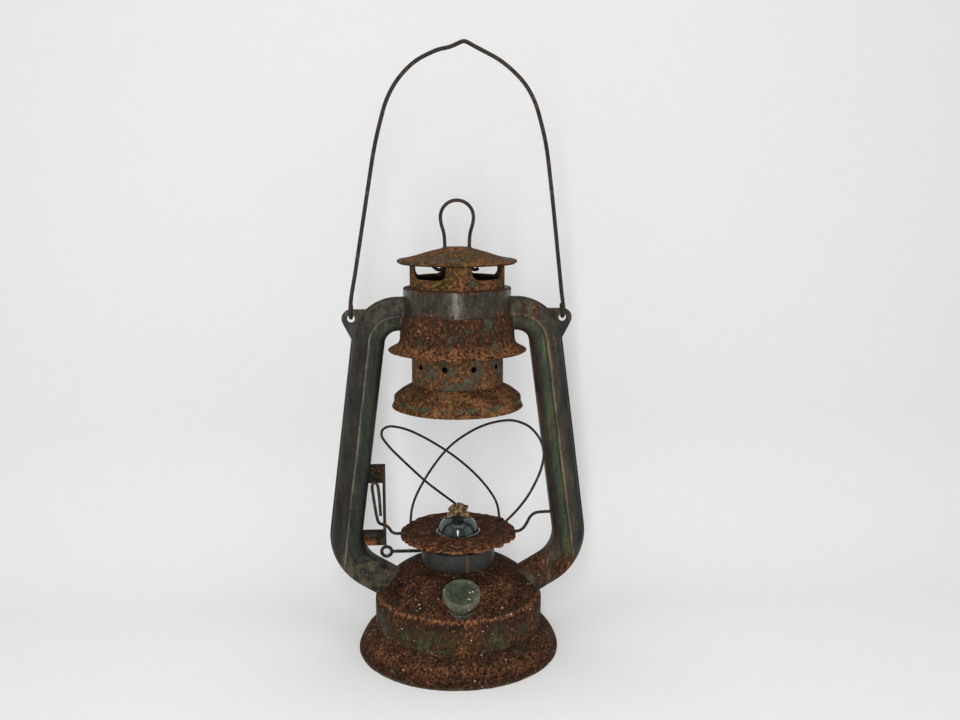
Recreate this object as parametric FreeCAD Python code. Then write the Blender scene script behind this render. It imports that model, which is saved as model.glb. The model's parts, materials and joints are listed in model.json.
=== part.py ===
"""Barn lantern (paraffin lantern without its glass), millimetres, +Z up.

Origin: centre of the base rim, on the ground plane. The two air tubes lie in the XZ plane, and -Y is the
front, where the filler cap is. Every piece is written to parts/NODE.step.
"""
import FreeCAD, Part
import math
import os

from FreeCAD import Placement, Rotation, Vector

# ---------------------------------------------------------------- driving dimensions
SHEET = 0.6                 # steel sheet of the pressed pieces
BIG = 200.0                 # size of cutting blocks

BASE_R = 60.0               # outer radius of the base rim
HEM = 1.4                   # width and height of the folded rim the lantern stands on
WALL_R = 49.8               # outer radius of the tank wall
WALL_LOW = 12.0             # lower edge of the tank wall
SHOULDER_Z = 31.2           # where the wall starts to round over into the dome
FOUNT_TOP = 53.0            # top of the raised ring round the burner hole
COLLAR_R = 21.4             # largest outer radius of the burner collar
COLLAR_LOW = 49.6
COLLAR_TOP = 64.0
FLOOR_Z = 30.4              # underside of the air chamber floor
SPIGOT_R = 10.4             # threaded spigot that screws the burner into the floor

DRUM_R = 20.2               # burner drum
DRUM_TOP = 69.4
DECK_Z = 68.2               # underside of the perforated deck
DOME_R = 12.2               # foot of the burner dome, below its bead
SLOT_W = 15.6               # wick slot in the burner dome
SLOT_D = 4.2
DECK_HOLES = 24
DECK_HOLE_R = 0.8
DECK_RING_R = 18.4          # circle the deck holes lie on
INTAKES = 16                # air holes round the foot of the drum
INTAKE_R = 1.1
INTAKE_Z = 46.5
TUBE_W = 15.2               # flat wick tube, outside
TUBE_D = 4.4
WICK_W = 13.2
WICK_D = 2.6

SHAFT_Z = 57.6              # wick spindle
SHAFT_Y = 4.8
SHAFT_R = 1.0
RUN = 0.05                  # radial running clearance
WHEEL_R = 3.4               # tip radius of the wick feed wheels
WHEEL_X = 3.5               # distance of each wheel from the middle of the spindle
WHEEL_W = 1.4
TEETH = 10
KEY_X = -43.0               # centre of the key's loop
KEY_LOOP_R = 3.0

FILLER_Y = -47.0            # centre of the filler cap's top face
FILLER_Z = 52.0
FILLER_TILT = 23.5          # degrees from vertical, towards the front
FILLER_R = 6.8
CAP_R = 10.5
CAP_DEEP = 3.6
SLEEVE_R = 7.5
SLEEVE_LOW = 8.2

SECTION_W = 9.0             # half width of an air tube, in the XZ plane
SECTION_D = 8.0             # half depth of an air tube, without its bead
FLANGE = 1.2                # seam flange on the outer edge of an air tube
TUBE_TOP_Z = 202.3          # centreline of the horizontal run into the crown
SPINE_X = 20.0              # where that centreline starts, inside the crown
ELBOW_X = 34.0
ELBOW_R = 17.0
LEAN = 7.4                  # degrees, how far the tubes spread towards the tank
LOW_BEND_Z = 73.6           # height on the centreline where the lower bend starts
LOW_BEND_R = 26.0
ARM_FALL = 31.0             # degrees, fall of the lower arm towards the tank
ARM_LONG = 27.6

EAR_X = 61.0                # bail ears
EAR_Z = 200.0
EAR_R = 5.4
EAR_HOLE_R = 2.2
BAIL_R = 1.15
EYE_R = 4.2                 # centreline radius of the eye at each end of the bail
BAIL_AXIS_Z = EAR_Z + 0.3 + EYE_R

CROWN_R = 31.0
CROWN_TOP = 218.0
CROWN_HOLE_R = 26.8
CROWN_STEP_Z = 203.0        # top edge of the crown skirt
BAND_LOW = 195.5            # lower edge of the crown band, inside the skirt
SKIRT_FOOT = (40.0, 182.0)  # radius and height of the crown skirt's lower edge
CHIMNEY_R = 26.5
CHIMNEY_LOW = 162.2
CHIMNEY_TOP = 222.0
VENT_Z = 174.0              # ring of vent holes in the chimney
VENT_R = 1.7
VENT_COUNT = 10
GALLERY_R = 27.2
GALLERY_TOP = 234.8
WINDOW_LOW = 223.7
POST_ANGLE = 15.5           # half angle of the front and back gallery posts
SIDE_POST_ANGLE = 26.0
SPRING_R = 28.5
SPRING_WIRE_R = 0.6
SPRING_TURNS = 6.5
SEAT_Z = 184.0              # bead on the chimney that carries the spring
SEAT_R = 29.6

PULL_WIRE_R = 1.0
PULL_LEG_X = 7.0

LIFT_X = 55.6               # where the lift wire pivots in the right tube
LIFT_Z = 82.4
LIFT_R = 0.9
LIFT_HOLE_R = 1.2
LIFT_RUN_Z = 70.5           # height of the lift wire under the globe plate
HOOP_R = 24.5               # the lift wire's half hoop behind the burner
PLATE_R = 34.5
PLATE_HOLE_R = 13.9
PLATE_TOP = 72.0
GUARD_R = 0.75

GUIDE_X = -43.0             # inner edge of the lift guide
GUIDE_T = 0.8
GUIDE_EDGE = 1.8             # strip of the plate left beside its window
GUIDE_Y = 3.0
GUIDE_LOW = 62.2
GUIDE_TOP = 112.6

UP = Vector(0, 0, 1)
ACROSS = Vector(0, 1, 0)
SIDEWAYS = Vector(1, 0, 0)
ORIGIN = Vector(0, 0, 0)


# ---------------------------------------------------------------- shape helpers
def at(x, z, y=0.0):
    return Vector(x, y, z)


def on_circle(centre, radius, angle):
    return (centre[0] + radius * math.cos(angle), centre[1] + radius * math.sin(angle))


def path(start, *steps):
    """Wire in the XZ plane. A step is a point, for a line, or a pair (middle, end), for an arc."""
    edges = []
    here = at(*start)
    for step in steps:
        if isinstance(step[0], tuple):
            there = at(*step[1])
            edges.append(Part.Arc(here, at(*step[0]), there).toShape())
        else:
            there = at(*step)
            edges.append(Part.LineSegment(here, there).toShape())
        here = there
    return Part.Wire(edges)


def turned(face):
    return face.revolve(ORIGIN, UP, 360)


def turned_sheet(outline, thickness=SHEET):
    """Sheet metal turned from an open outline. The sheet lies to the left of the outline if positive."""
    strip = outline.makeOffset2D(thickness, 2, True, True, False)
    return solid_of(turned(strip.Faces[0]))


def turned_block(outline):
    """Solid turned from a closed outline."""
    return solid_of(turned(Part.Face(outline)))


def solid_of(shape):
    """The one solid of a shape, facing outwards."""
    solid = shape.Solids[0]
    if solid.Volume < 0:
        solid.reverse()
    return solid


def ring(outer, inner, low, high, base=ORIGIN, axis=UP):
    """Plain annulus or tube about an axis."""
    body = rod(outer, low, high, base, axis)
    return body.cut(rod(inner, low, high, base, axis))


def rod(radius, low, high, base=ORIGIN, axis=UP):
    return Part.makeCylinder(radius, high - low, base + axis * low, axis)


def block(low, high):
    size = [b - a for a, b in zip(low, high)]
    return Part.makeBox(size[0], size[1], size[2], Vector(*low))


def centred_block(wide, deep, low, high):
    return block((-wide / 2, -deep / 2, low), (wide / 2, deep / 2, high))


def rounded_block(wide, deep, low, high, corner):
    body = centred_block(wide, deep, low, high)
    edges = [edge for edge in body.Edges if abs(edge.tangentAt(edge.FirstParameter).z) > 0.9]
    return body.makeFillet(corner, edges)


def bent(points):
    """Wire through a row of bend points, each corner rounded by an arc that reaches the nearer mid-point."""
    nodes = [Vector(*point) for point in points]
    edges = []
    here = nodes[0]
    for before, corner, after in zip(nodes, nodes[1:], nodes[2:]):
        back = before - corner
        ahead = after - corner
        room = 0.5 * min(back.Length, ahead.Length)
        back.normalize()
        ahead.normalize()
        half = back.getAngle(ahead) / 2
        if half > math.radians(89.5):
            continue
        start = corner + back * room
        end = corner + ahead * room
        inward = back + ahead
        inward.normalize()
        radius = room * math.tan(half)
        middle = corner + inward * (radius / math.sin(half) - radius)
        if (start - here).Length > 1e-6:
            edges.append(Part.LineSegment(here, start).toShape())
        edges.append(Part.Arc(start, middle, end).toShape())
        here = end
    edges.append(Part.LineSegment(here, nodes[-1]).toShape())
    return Part.Wire(edges)


def wire_rod(spine, radius):
    """Round wire along a spine."""
    first = spine.OrderedEdges[0]
    start = first.valueAt(first.FirstParameter)
    direction = first.tangentAt(first.FirstParameter)
    profile = Part.Wire([Part.makeCircle(radius, start, direction)])
    return solid_of(spine.makePipeShell([profile], True, False))


def mirrored(shape):
    """The other hand, across the YZ plane."""
    return shape.mirror(ORIGIN, SIDEWAYS)


# ---------------------------------------------------------------- tank
def skirt_outline():
    return path((BASE_R, 0), (BASE_R, 1.0), ((56.0, 9.0), (WALL_R + SHEET, 14.2)), (WALL_R + SHEET, 16.2))


def base_skirt():
    skirt = turned_sheet(skirt_outline())
    hem = ring(BASE_R, BASE_R - HEM, 0, HEM)
    return skirt.fuse(hem).removeSplitter()


def tank_outline():
    return path(
        (WALL_R, WALL_LOW),
        (WALL_R, SHOULDER_Z),
        ((49.4, 33.1), (48.2, 34.7)),
        ((41.0, 43.5), (31.0, 50.0)),
        ((27.0, 51.3), (24.0, 51.8)),
        (23.0, 52.9),
        (COLLAR_R, FOUNT_TOP),
    )


def tank_envelope():
    """Everything inside the tank's outer surface, for trimming the pieces that are soldered to it."""
    outline = tank_outline()
    closing = path((COLLAR_R, FOUNT_TOP), (0, FOUNT_TOP), (0, WALL_LOW), (WALL_R, WALL_LOW))
    return turned_block(Part.Wire(outline.Edges + closing.Edges))


def fount_shell():
    burner_hole = rod(COLLAR_R, SHOULDER_Z, FOUNT_TOP + 1)
    return turned_sheet(tank_outline()).cut(burner_hole)


def fount_bottom():
    inside = WALL_R - SHEET
    return turned_sheet(path((0, WALL_LOW), (inside, WALL_LOW), (inside, WALL_LOW + 3.5)))


def air_chamber_floor():
    inside = WALL_R - SHEET
    neck = SPIGOT_R + RUN + SHEET
    outline = path((inside, FLOOR_Z - 3.0), (inside, FLOOR_Z + SHEET), (neck, FLOOR_Z + SHEET), (neck, 37.0))
    return turned_sheet(outline)


def on_filler(shape):
    """Carries a shape turned about +Z onto the filler's axis, with the cap's top face at z = 0."""
    shape.Placement = Placement(Vector(0, FILLER_Y, FILLER_Z), Rotation(SIDEWAYS, FILLER_TILT))
    return shape


def filler_bore(radius):
    return on_filler(rod(radius, -26.0, 0))


def filler_neck():
    tube = ring(FILLER_R, FILLER_R - SHEET, -24.2, -2.4)
    bead_low = -11.6
    bead = ring(FILLER_R + 0.9, FILLER_R - SHEET / 2, bead_low, bead_low + 1.6)
    neck = on_filler(tube.fuse(bead).removeSplitter())
    return neck.cut(block((-BIG, -BIG, FLOOR_Z - BIG - 2.0), (BIG, BIG, FLOOR_Z - 2.0)))


def filler_gasket():
    return on_filler(ring(FILLER_R - 0.1, 4.6, -2.2, -SHEET))


def filler_cap():
    rim = 0.8
    outline = path(
        (0, 0),
        (CAP_R - 2.6, 0),
        ((CAP_R - 1.9, 0.25), (CAP_R - 1.2, 0.35)),
        ((CAP_R - 0.25, 0.1), (CAP_R, -rim)),
        (CAP_R, -CAP_DEEP),
        (SLEEVE_R, -CAP_DEEP - 0.9),
        (SLEEVE_R, -SLEEVE_LOW),
    )
    return on_filler(turned_sheet(outline, -SHEET))


# ---------------------------------------------------------------- burner
def spindle_hole(radius, low_x, high_x):
    return rod(radius, low_x, high_x, Vector(0, SHAFT_Y, SHAFT_Z), SIDEWAYS)


def burner_collar():
    outline = path(
        (COLLAR_R, COLLAR_LOW),
        (COLLAR_R, FOUNT_TOP),
        ((COLLAR_R + 0.35, 58.0), (COLLAR_R, 62.4)),
        ((COLLAR_R - 0.3, 63.6), (COLLAR_R - 1.1, COLLAR_TOP)),
    )
    collar = turned_sheet(outline)
    return collar.cut(spindle_hole(SHAFT_R + 0.4, -COLLAR_R - 2, 0))


def burner_body():
    spigot = path(
        (SPIGOT_R, 32.0),
        (SPIGOT_R, 40.0),
        (16.0, 43.5),
        ((19.8, 46.0), (DRUM_R, 50.0)),
        (DRUM_R, DRUM_TOP),
    )
    drum = turned_sheet(spigot)
    deck = ring(DRUM_R - SHEET, 9.8, DECK_Z, DECK_Z + SHEET)
    for i in range(DECK_HOLES):
        x, y = on_circle((0, 0), DECK_RING_R, 2 * math.pi * i / DECK_HOLES)
        deck = deck.cut(rod(DECK_HOLE_R, DECK_Z - 1, DECK_Z + 2, Vector(x, y, 0)))
    body = drum.fuse(deck).removeSplitter()
    for i in range(INTAKES):
        angle = 2 * math.pi * (i + 0.5) / INTAKES
        outward = Vector(math.cos(angle), math.sin(angle), 0)
        body = body.cut(Part.makeCylinder(INTAKE_R, DRUM_R + 1, Vector(0, 0, INTAKE_Z), outward))
    return body.cut(spindle_hole(SHAFT_R + RUN, -DRUM_R - 1, DRUM_R + 1))


def burner_dome():
    bead = DOME_R + 1.1
    outline = path(
        (DOME_R, DECK_Z + SHEET),
        (DOME_R, 70.8),
        (bead, 71.4),
        (bead, 71.8),
        (DOME_R, 72.3),
        ((9.5, 77.9), (0, 81.0)),
    )
    dome = turned_sheet(outline)
    return dome.cut(rounded_block(SLOT_W, SLOT_D, 70, 90, 1.0))


def wick_tube():
    outer = rounded_block(TUBE_W, TUBE_D, 29.0, 77.0, 1.4)
    inner = rounded_block(TUBE_W - 1.0, TUBE_D - 1.0, 28.0, 78.0, 1.0)
    tube = outer.cut(inner)
    for x in (-WHEEL_X, WHEEL_X):
        slot = block((x - 1.1, 0, SHAFT_Z - 3.6), (x + 1.1, TUBE_D, SHAFT_Z + 3.6))
        tube = tube.cut(slot)
    return tube


def wick():
    strap = centred_block(WICK_W, WICK_D, 18.0, 81.5)
    head = rounded_block(WICK_W, 7.5, 81.2, 89.0, 1.6)
    return strap.fuse(head).removeSplitter()


def wick_key():
    side = Vector(0, SHAFT_Y, SHAFT_Z)
    loop_edge = KEY_X + KEY_LOOP_R
    shaft = rod(SHAFT_R, loop_edge - 0.3, DRUM_R - 0.1, side, SIDEWAYS)
    loop = Part.makeTorus(KEY_LOOP_R, SHAFT_R, Vector(KEY_X, SHAFT_Y, SHAFT_Z), ACROSS)
    return shaft.fuse(loop).removeSplitter()


def wick_wheels():
    """Two toothed wheels on the spindle, as separate solids."""
    wheels = []
    for x in (-WHEEL_X, WHEEL_X):
        points = []
        for i in range(2 * TEETH + 1):
            reach = WHEEL_R if i % 2 else WHEEL_R - 0.8
            angle = math.pi * i / TEETH
            y, z = on_circle((SHAFT_Y, SHAFT_Z), reach, angle)
            points.append(Vector(x - WHEEL_W / 2, y, z))
        wheel = Part.Face(Part.makePolygon(points)).extrude(Vector(WHEEL_W, 0, 0))
        wheels.append(wheel.cut(spindle_hole(SHAFT_R, -10, 10)))
    return Part.makeCompound([wheel.Solids[0] for wheel in wheels])


# ---------------------------------------------------------------- air tubes
def tube_spine():
    """Centreline of the right tube, from inside the crown to inside the tank dome."""
    lean = math.radians(LEAN)
    fall = math.radians(ARM_FALL)
    elbow_centre = (ELBOW_X, TUBE_TOP_Z - ELBOW_R)
    elbow_mid = on_circle(elbow_centre, ELBOW_R, (math.pi / 2 + lean) / 2)
    elbow_end = on_circle(elbow_centre, ELBOW_R, lean)
    bend_start = (elbow_end[0] + (elbow_end[1] - LOW_BEND_Z) * math.tan(lean), LOW_BEND_Z)
    bend_centre = (bend_start[0] - LOW_BEND_R * math.cos(lean), LOW_BEND_Z - LOW_BEND_R * math.sin(lean))
    end_angle = fall - math.pi / 2
    bend_mid = on_circle(bend_centre, LOW_BEND_R, (lean + end_angle) / 2)
    bend_end = on_circle(bend_centre, LOW_BEND_R, end_angle)
    arm_end = (bend_end[0] - ARM_LONG * math.cos(fall), bend_end[1] - ARM_LONG * math.sin(fall))
    return path(
        (SPINE_X, TUBE_TOP_Z),
        (ELBOW_X, TUBE_TOP_Z),
        (elbow_mid, elbow_end),
        bend_start,
        (bend_mid, bend_end),
        arm_end,
    )


def half_section(flange):
    """Outline of the front half of a tube at the spine's start, from the inner seam to the outer seam."""
    def p(side, depth):
        return Vector(SPINE_X, -depth, TUBE_TOP_Z + side)

    w = SECTION_W
    d = SECTION_D
    corner = 4.0
    slope = 0.8             # the front face falls away by this much from its bead to the corners
    knee = d - corner - slope
    bead = 1.0
    steps = [
        (p(-w, 0), p(-w, knee)),
        (p(-w, knee), p(-w + 1.0, d - 2.0), p(-w + corner, d - slope)),
        (p(-w + corner, d - slope), p(-bead, d)),
        (p(-bead, d), p(0, d + 0.7), p(bead, d)),
        (p(bead, d), p(w - corner, d - slope)),
        (p(w - corner, d - slope), p(w - 1.0, d - 2.0), p(w, knee)),
    ]
    if flange:
        steps += [(p(w, knee), p(w, SHEET)), (p(w, SHEET), p(w + FLANGE, SHEET))]
    else:
        steps += [(p(w, knee), p(w, 0))]
    curves = {2: Part.LineSegment, 3: Part.Arc}
    return Part.Wire([curves[len(step)](*step).toShape() for step in steps])


def half_wall(flange):
    """Outline of the sheet of one tube half."""
    return half_section(flange).makeOffset2D(SHEET, 2, True, True, False).Faces[0].OuterWire


def swept(section):
    return solid_of(tube_spine().makePipeShell([section], True, False))


def tube_core(inset):
    """Solid that fills the right tube's front and back halves, up to its outer or its inner surface."""
    front = half_section(False)
    seam = (Vector(SPINE_X, 0, TUBE_TOP_Z + SECTION_W), Vector(SPINE_X, 0, TUBE_TOP_Z - SECTION_W))
    half = swept(Part.Wire(front.Edges + [Part.LineSegment(*seam).toShape()]))
    if inset:
        half = half.cut(swept(half_wall(False)))
    return half.fuse(half.mirror(ORIGIN, ACROSS)).removeSplitter()


def ear():
    """Front layer of the right bail ear."""
    corners = [(44.0, EAR_Z + EAR_R), (EAR_X, EAR_Z + EAR_R), (EAR_X + EAR_R, EAR_Z), (EAR_X + 4.4, EAR_Z - 3.4)]
    corners += [(60.4, 187.0), (50.0, 187.0)]
    points = [Vector(x, -SHEET, z) for x, z in corners]
    web = Part.Face(Part.makePolygon(points + points[:1])).extrude(Vector(0, SHEET, 0))
    lobe = rod(EAR_R, -SHEET, 0, Vector(EAR_X, 0, EAR_Z), ACROSS)
    wedge = block((EAR_X, -1, EAR_Z), (EAR_X + EAR_R + 1, 1, EAR_Z + EAR_R + 1))
    return web.cut(wedge).fuse(lobe)


def air_tube():
    """Front half of the right tube, with its ear, trimmed to the crown and the tank."""
    half = swept(half_wall(True)).fuse(ear().cut(tube_core(False))).removeSplitter()
    hole = rod(EAR_HOLE_R, -2, 2, Vector(EAR_X, 0, EAR_Z), ACROSS)
    half = half.cut(hole)
    half = half.cut(crown_envelope())
    half = half.cut(tank_envelope())
    return half


# ---------------------------------------------------------------- crown
def skirt_wall():
    return path(
        (CROWN_R + SHEET, CROWN_STEP_Z),
        (32.3, 201.6),
        (33.2, 189.2),
        ((34.3, 185.6), (37.0, 183.6)),
        SKIRT_FOOT,
    )


def crown_band():
    outline = path(
        (CROWN_R, BAND_LOW),
        (CROWN_R, CROWN_TOP - 0.9),
        ((CROWN_R - 0.25, CROWN_TOP - 0.25), (CROWN_R - 0.9, CROWN_TOP)),
        (CROWN_HOLE_R, CROWN_TOP),
    )
    return turned_sheet(outline)


def crown_skirt():
    return turned_sheet(skirt_wall(), -SHEET)


def crown_envelope():
    """Everything inside the crown's outer surface."""
    skirt = skirt_wall()
    closing = path(SKIRT_FOOT, (0, SKIRT_FOOT[1]), (0, CROWN_STEP_Z), (CROWN_R + SHEET, CROWN_STEP_Z))
    lower = turned_block(Part.Wire(skirt.Edges + closing.Edges))
    return lower.fuse(rod(CROWN_R, CROWN_STEP_Z - 1, CROWN_TOP))


# ---------------------------------------------------------------- chimney
def chimney_tube():
    low_seat = SEAT_Z - 1.2
    tube = ring(CHIMNEY_R, CHIMNEY_R - SHEET, CHIMNEY_LOW, CHIMNEY_TOP)
    seat = ring(SEAT_R, CHIMNEY_R - SHEET / 2, low_seat, SEAT_Z)
    tube = tube.fuse(seat).removeSplitter()
    for i in range(VENT_COUNT):
        angle = math.radians(360 / VENT_COUNT * i)
        outward = Vector(math.cos(angle), math.sin(angle), 0)
        tube = tube.cut(Part.makeCylinder(VENT_R, CHIMNEY_R + 2, Vector(0, 0, VENT_Z), outward))
    return tube


def vent_gallery():
    """Wall on top of the chimney, cut by four windows into two narrow and two wide posts."""
    wall = ring(GALLERY_R, CHIMNEY_R, CROWN_TOP, GALLERY_TOP)
    corner = 4.5
    half_span = (90 - POST_ANGLE - SIDE_POST_ANGLE) / 2
    half_gap = GALLERY_R * math.sin(math.radians(half_span))
    aim = SIDE_POST_ANGLE + half_span
    for angle in (aim, 180 - aim, 180 + aim, -aim):
        low = WINDOW_LOW
        window = block((0, -half_gap, low), (GALLERY_R + 5, half_gap, GALLERY_TOP + 10))
        edges = [edge for edge in window.Edges if is_low_corner(edge, low)]
        window = window.makeFillet(corner, edges)
        window.rotate(ORIGIN, UP, angle)
        wall = wall.cut(window)
    return wall


def is_low_corner(edge, low):
    """True for the two lower edges of a window block that run through the wall."""
    along = abs(edge.tangentAt(edge.FirstParameter).x) > 0.9
    return along and abs(edge.CenterOfMass.z - low) < 0.1


def chimney_cap():
    """Shallow roof with a rolled lip, and two holes for the legs of the pull ring."""
    lip = 1.4
    lip_x = 33.6
    lip_z = 232.9
    outline = path(
        (0, 241.2),
        (PULL_LEG_X + 1.4, 241.2),
        (9.8, 240.3),
        ((13.6, 239.4), (19.4, 237.8)),
        ((26.0, 235.8), (lip_x, lip_z + lip)),
        ((lip_x + lip, lip_z), (lip_x, lip_z - lip)),
        (lip_x - 1.3, lip_z - lip + 0.2),
    )
    cap = turned_sheet(outline, -SHEET)
    for side in (-1, 1):
        cap = cap.cut(rod(PULL_WIRE_R + RUN, 230, 250, Vector(side * PULL_LEG_X, 0, 0)))
    return cap


def pull_ring():
    loop_r = 9.7
    loop_z = 257.7
    points = [(-14.5, 0, 230.4), (-10.6, 0, 227.2), (-7.6, 0, 229.0)]
    points += [(-PULL_LEG_X, 0, 235.0), (-PULL_LEG_X, 0, 243.0), (-7.3, 0, 248.2)]
    for degrees in range(195, -30, -30):
        angle = math.radians(degrees)
        points.append((loop_r * math.cos(angle), 0, loop_z + loop_r * math.sin(angle)))
    points += [(7.3, 0, 248.2), (PULL_LEG_X, 0, 243.0), (PULL_LEG_X, 0, 235.0)]
    points += [(7.6, 0, 229.4), (9.6, 0, 227.4), (12.4, 0, 228.4)]
    return wire_rod(bent(points), PULL_WIRE_R)


def globe_bell():
    inside = CHIMNEY_R - SHEET
    outline = path(
        (38.2, 148.8),
        (36.9, 151.4),
        (36.9, 154.7),
        (35.9, 155.7),
        (32.7, 158.2),
        (CHIMNEY_R, CHIMNEY_LOW - 0.7),
        (inside, CHIMNEY_LOW - 0.1),
        (inside, 168.0),
    )
    return turned_sheet(outline)


def chimney_spring():
    low = SEAT_Z + SPRING_WIRE_R
    high = CROWN_TOP - SHEET - SPRING_WIRE_R
    helix = Part.makeHelix((high - low) / SPRING_TURNS, high - low, SPRING_R)
    helix.translate(Vector(0, 0, low))
    spine = Part.Wire(helix.Edges)
    start = spine.Edges[0].valueAt(spine.Edges[0].FirstParameter)
    direction = spine.Edges[0].tangentAt(spine.Edges[0].FirstParameter)
    profile = Part.Wire([Part.makeCircle(SPRING_WIRE_R, start, direction)])
    coil = solid_of(spine.makePipeShell([profile], True, True))
    slab_low = block((-BIG, -BIG, SEAT_Z - 5), (BIG, BIG, SEAT_Z))
    slab_high = block((-BIG, -BIG, CROWN_TOP - SHEET), (BIG, BIG, CROWN_TOP + 5))
    return coil.cut(slab_low).cut(slab_high)


# ---------------------------------------------------------------- bail
def bail_eye(side):
    """Points round the eye that hooks through an ear, from its open end to where the leg starts."""
    points = []
    for degrees in range(-135, 136, 45):
        angle = math.radians(degrees)
        y = -EYE_R * math.sin(angle)
        z = BAIL_AXIS_Z - EYE_R * math.cos(angle)
        points.append((side * EAR_X, y, z))
    return points


def bail_wire():
    left = bail_eye(-1)
    left += [(-60.4, 0.0, 214.0), (-58.2, 0, 225.0), (-51.3, 0, 267.0), (-45.4, 0, 300.0), (-39.2, 0, 322.0)]
    left += [(-33.2, 0, 332.7), (-23.2, 0, 343.2)]
    hump = [(-10.0, 0, 349.2), (-3.5, 0, 350.4), (0.8, 0, 352.4), (4.4, 0, 354.0), (7.8, 0, 352.2)]
    hump += [(12.0, 0, 350.0)]
    right = [(25.4, 0, 343.4), (37.4, 0, 332.7), (44.0, 0, 322.0), (50.4, 0, 300.0), (54.6, 0, 267.0)]
    right += [(59.2, 0, 225.0), (60.4, 0, 214.0)]
    right += list(reversed(bail_eye(1)))
    return wire_rod(bent(left + hump + right), BAIL_R)


# ---------------------------------------------------------------- globe lift
def lift_wire():
    """One wire: pivot in the right tube, cranked run under the plate, half hoop, and a finger loop."""
    z = LIFT_RUN_Z
    points = [(59.4, 0, LIFT_Z), (52.0, 0, LIFT_Z), (46.2, 0, LIFT_Z - 0.4), (43.0, 0, 79.4), (41.0, 0, 74.6)]
    points += [(37.6, 0, z), (32.0, 0, z), (27.6, 1.2, z)]
    for degrees in (20, 55, 90, 125, 160):
        angle = math.radians(degrees)
        points.append((HOOP_R * math.cos(angle), HOOP_R * math.sin(angle), z))
    points += [(-27.6, 1.2, z), (-32.0, 0, z), (-37.6, 0, z), (-39.8, 0, 71.6), (-41.4, 0, 74.4)]
    points += [(-43.4, 0, 76.0), (-45.6, -1.6, 77.0), (-47.4, -5.2, 79.4), (-48.4, -6.6, 85.0)]
    points += [(-49.8, -6.6, 95.0), (-50.6, -6.6, 102.0), (-49.4, -6.6, 105.2), (-47.2, -6.6, 103.0)]
    points += [(-46.4, -6.6, 96.0), (-45.8, -6.6, 84.0)]
    return wire_rod(bent(points), LIFT_R)


def guard_feet():
    """Where the four guard wire ends pass through the globe plate: left wire, then right wire."""
    return [(26.2, 16.2), (4.0, 31.0), (-28.6, 13.0), (20.6, -7.0)]


def globe_plate():
    edge = 1.4
    outline = path(
        (PLATE_HOLE_R, PLATE_TOP),
        (PLATE_R - edge, PLATE_TOP),
        ((PLATE_R - 0.4, PLATE_TOP - 0.4), (PLATE_R, PLATE_TOP - edge)),
        (PLATE_R, PLATE_TOP - 2.4),
    )
    plate = turned_sheet(outline, -SHEET)
    for side in (-1, 1):
        notch = block((side * PLATE_R - 3, -LIFT_R - 0.1, 60), (side * PLATE_R + 3, LIFT_R + 0.1, PLATE_TOP - SHEET))
        plate = plate.cut(notch)
    for x, y in guard_feet():
        plate = plate.cut(rod(GUARD_R + RUN, 60, 80, Vector(x, y, 0)))
    return plate


def guard_wire(feet, points):
    """Guard wire whose two ends drop through the globe plate at the given feet."""
    low = PLATE_TOP - SHEET - 0.9
    first, last = feet
    start = [(first[0], first[1], low), (first[0], first[1], PLATE_TOP + 0.4)]
    end = [(last[0], last[1], PLATE_TOP + 0.4), (last[0], last[1], low)]
    return wire_rod(bent(start + points + end), GUARD_R)


def guard_wire_left():
    """Rises from the right of the plate, behind the flame space, to a loop beside the left tube."""
    points = [(25.2, 19.8, 82.0), (18.6, 24.6, 91.6), (9.4, 27.2, 101.2), (-2.6, 27.0, 111.6)]
    points += [(-18.4, 22.8, 123.0), (-31.2, 15.6, 131.2), (-41.4, 5.6, 135.4), (-46.2, -2.6, 133.0)]
    points += [(-40.4, 1.0, 123.4), (-30.0, 10.0, 110.0), (-18.2, 20.4, 95.4), (-7.6, 27.0, 85.0)]
    points += [(0.2, 30.2, 78.0)]
    return guard_wire(guard_feet()[0:2], points)


def guard_wire_right():
    """Rises from the left of the plate, behind the flame space, to a loop in front of the right tube."""
    points = [(-27.8, 17.4, 80.6), (-24.4, 24.0, 88.0), (-16.2, 30.0, 100.6), (-4.6, 33.0, 115.0)]
    points += [(10.6, 27.6, 127.0), (23.0, 15.0, 134.8), (33.4, -2.2, 139.8), (42.8, -15.6, 138.0)]
    points += [(49.6, -18.2, 126.6), (47.6, -18.4, 113.8), (41.2, -16.2, 98.8), (34.2, -12.6, 87.8)]
    points += [(27.4, -9.0, 79.4)]
    return guard_wire(guard_feet()[2:4], points)


def lift_guide():
    """Bent bracket on the left tube: a windowed plate, and a flange with the lift wire's slot."""
    plate = block((-62, GUIDE_Y, GUIDE_LOW), (GUIDE_X, GUIDE_Y + GUIDE_T, GUIDE_TOP))
    window = block((-70, GUIDE_Y - 1, 72.0), (GUIDE_X - GUIDE_EDGE, GUIDE_Y + 2, 101.0))
    flange = block((GUIDE_X - GUIDE_T, -4.5, GUIDE_LOW + 4.0), (GUIDE_X, GUIDE_Y + GUIDE_T, GUIDE_TOP))
    slot = block((GUIDE_X - 3, -1.3, 73.0), (GUIDE_X + 3, 1.3, 97.0))
    bracket = plate.cut(window).fuse(flange).cut(slot).removeSplitter()
    return bracket.cut(mirrored(tube_core(False)))


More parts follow.
